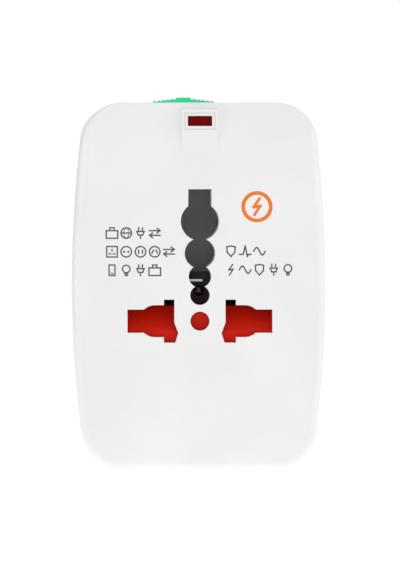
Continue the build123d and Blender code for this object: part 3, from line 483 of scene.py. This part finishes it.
# Orange mark at the upper right: a plain ring with a bolt in it
mark = {"x": 11.4, "z": 52.75, "radius": 2.75, "stroke": 0.75, "ringSteps": 64, "boltShare": 1.15,
        "boltStrokeShare": 0.75}
markMesh = bmesh.new()
strokeRing(markMesh, mark["x"], mark["z"], mark["radius"], mark["stroke"],
           steps=mark["ringSteps"])
iconBolt(markMesh, mark["x"], mark["z"], mark["radius"] * mark["boltShare"],
         mark["stroke"] * mark["boltStrokeShare"])
newPiece("printed_orange_mark", markMesh, orangeInk, "front_module")
print("printed marks made")


# Shutter springs: open coils that stand for the plain tubes of the frame
spring = {"turns": 7.5, "stepsPerTurn": 24, "wireSides": 10, "wire": 0.42, "travel": 7.2}


def coilSpring(name, node):
    low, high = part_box(node)
    centre = (low + high) / 2
    wire = spring["wire"] * mm / 2
    radius = (high.x - low.x) / 2 - wire
    rise = high.z - low.z - 2 * wire
    mesh = bmesh.new()
    ring = bmesh.ops.create_circle(mesh, cap_ends=True, segments=spring["wireSides"], radius=wire)["verts"]
    bmesh.ops.rotate(mesh, verts=ring, cent=(0, 0, 0), matrix=Matrix.Rotation(math.pi / 2, 3, "X"))
    bmesh.ops.translate(mesh, verts=ring, vec=(radius, 0, 0))
    steps = int(spring["turns"] * spring["stepsPerTurn"])
    bmesh.ops.spin(mesh, geom=list(mesh.faces) + list(mesh.edges) + ring, cent=(0, 0, 0), axis=(0, 0, 1),
                   angle=spring["turns"] * math.tau, steps=steps, dvec=(0, 0, rise / steps))
    bmesh.ops.translate(mesh, verts=mesh.verts, vec=(centre.x, centre.y, low.z + wire))
    piece = newPiece(name, mesh, springSteel, "front_module")
    for polygon in piece.data.polygons:
        polygon.use_smooth = True
    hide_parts(node)
    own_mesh(piece)


coilSpring("coil_spring_left", "shutter_spring_left")
coilSpring("coil_spring_right", "shutter_spring_right")
print("springs made")


# Studio: a pale floor, a white surround and five softboxes
studio = {"floorColor": "#CCCCCC", "floorShade": "#C8C8C8", "floorSize": 0.7, "floorGlow": 0.62,
          "seenWorld": 1.0, "litWorld": 0.48, "lightAimZ": 0.04}


def makeStage():
    mesh = bmesh.new()
    bmesh.ops.create_grid(mesh, x_segments=1, y_segments=1, size=studio["floorSize"])
    data = bpy.data.meshes.new("floor")
    mesh.to_mesh(data)
    mesh.free()
    floor = bpy.data.objects.new("floor", data)
    scene.collection.objects.link(floor)
    material, tree, principled, place = newMaterial("paleFloor", {
        "Roughness": 0.9, "Specular IOR Level": 0.1, "Emission Color": linear("#FFFFFF"),
        "Emission Strength": studio["floorGlow"]})
    cloud = addNode(tree, "ShaderNodeTexNoise", {"Vector": place, "Scale": perMetre(300), "Detail": 2.0})
    base = addNode(tree, "ShaderNodeMix", {
        "data_type": "RGBA", 0: cloud.outputs["Fac"], 6: linear(studio["floorColor"]),
        7: linear(studio["floorShade"])})
    tree.links.new(base.outputs[2], principled.inputs["Base Color"])
    data.materials.append(material)


def makeWorld():
    # white where the camera looks past the floor, softer as a light
    world = bpy.data.worlds.new("studioWorld")
    scene.world = world
    world.use_nodes = True
    tree = world.node_tree
    tree.nodes.clear()
    white = linear("#FFFFFF")
    lit = addNode(tree, "ShaderNodeBackground", {"Color": white, "Strength": studio["litWorld"]})
    seen = addNode(tree, "ShaderNodeBackground", {"Color": white, "Strength": studio["seenWorld"]})
    path = tree.nodes.new("ShaderNodeLightPath")
    mix = addNode(tree, "ShaderNodeMixShader", {
        "Fac": path.outputs["Is Camera Ray"], 1: lit.outputs["Background"], 2: seen.outputs["Background"]})
    addNode(tree, "ShaderNodeOutputWorld", {"Surface": mix.outputs["Shader"]})


def softbox(name, place, size, power):
    light = bpy.data.lights.new(name, "AREA")
    light.shape = "RECTANGLE"
    light.size = size[0]
    light.size_y = size[1]
    light.energy = power
    lamp = bpy.data.objects.new(name, light)
    scene.collection.objects.link(lamp)
    lamp.location = place
    aim = Vector((0, 0, studio["lightAimZ"]))
    lamp.rotation_euler = (aim - Vector(place)).to_track_quat("-Z", "Y").to_euler()


makeStage()
makeWorld()
softbox("rightLight", (0.95, -0.34, 0.30), (0.4, 0.8), 2.6)
softbox("leftLight", (-0.95, -0.42, 0.35), (0.4, 0.7), 2.2)
softbox("frontLight", (-0.15, -1.20, 0.55), (0.6, 0.4), 0.5)
softbox("topLight", (0.10, -0.25, 0.95), (0.6, 0.5), 1.8)
softbox("backLight", (0.20, 0.80, 0.50), (0.6, 0.4), 1.5)

# Camera: nearly square on to the face, far enough away for a flat view
view = {"distance": 1.5, "azimuth": -1.6, "elevation": 0.8, "frameHeight": 114.0, "aimZ": 37.1, "aimX": 0.0,
        "filmHeight": 36.0, "clipStart": 0.05, "clipEnd": 20.0}
camera = bpy.data.cameras.new("camera")
camera.sensor_fit = "VERTICAL"
camera.sensor_height = view["filmHeight"]
camera.lens = camera.sensor_height * view["distance"] / (view["frameHeight"] * mm)
camera.clip_start = view["clipStart"]
camera.clip_end = view["clipEnd"]
cameraObject = bpy.data.objects.new("camera", camera)
scene.collection.objects.link(cameraObject)
aim = Vector((view["aimX"] * mm, faceLow.y, view["aimZ"] * mm))
azimuth = math.radians(view["azimuth"])
elevation = math.radians(view["elevation"])
away = Vector((math.sin(azimuth) * math.cos(elevation), -math.cos(azimuth) * math.cos(elevation),
               math.sin(elevation)))
cameraObject.location = aim + away * view["distance"]
cameraObject.rotation_euler = (-away).to_track_quat("-Z", "Y").to_euler()
scene.camera = cameraObject
scene.view_settings.view_transform = "Standard"
print("stage, lights and camera set")
